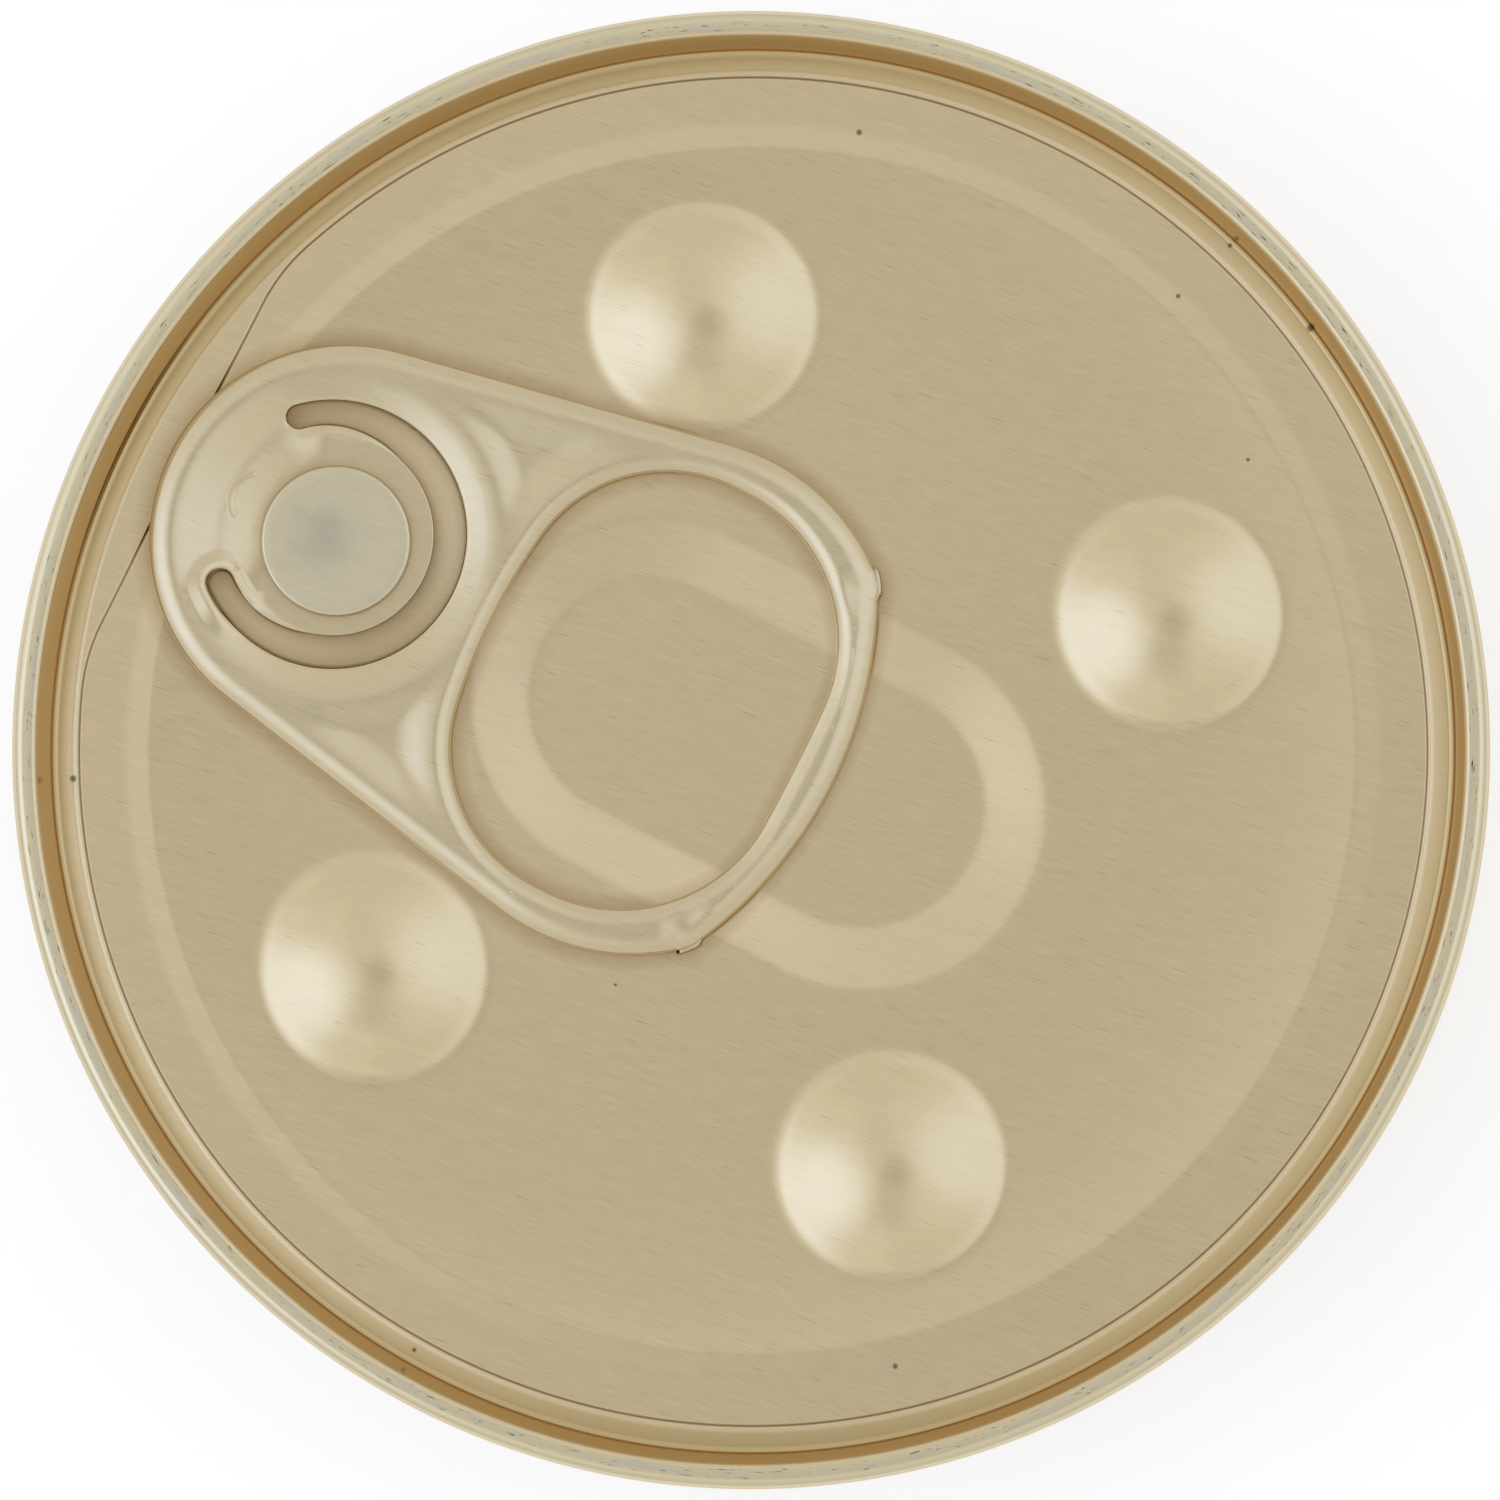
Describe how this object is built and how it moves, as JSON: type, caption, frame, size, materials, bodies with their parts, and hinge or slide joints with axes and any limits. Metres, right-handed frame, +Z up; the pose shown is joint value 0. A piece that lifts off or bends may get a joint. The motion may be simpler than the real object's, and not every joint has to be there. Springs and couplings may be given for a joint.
{
  "type": "cat food can",
  "caption": "Small sealed round aluminium food can with an easy-open end, double seam and curled ring-pull tab.",
  "frame": {"origin": "centre of the foot ring, on the surface the can stands on", "axes": "+Z up along the can's axis; the pull tab lies along X with its nose towards -X and its ring over the middle"},
  "size_m": [0.0687, 0.0686, 0.038],
  "materials": {
    "drawn_body": "drawn aluminium, clear lacquered, satin",
    "lacquered_lid": "rolled aluminium under a pale gold lacquer, satin with fine rolling grain",
    "lacquered_tab": "rolled aluminium under a pale gold lacquer, edges curled smooth"
  },
  "bodies": {
    "root": {"can_body": "drawn_body", "lid": "lacquered_lid", "pull_tab": "lacquered_tab"}
  },
  "joints": []
}
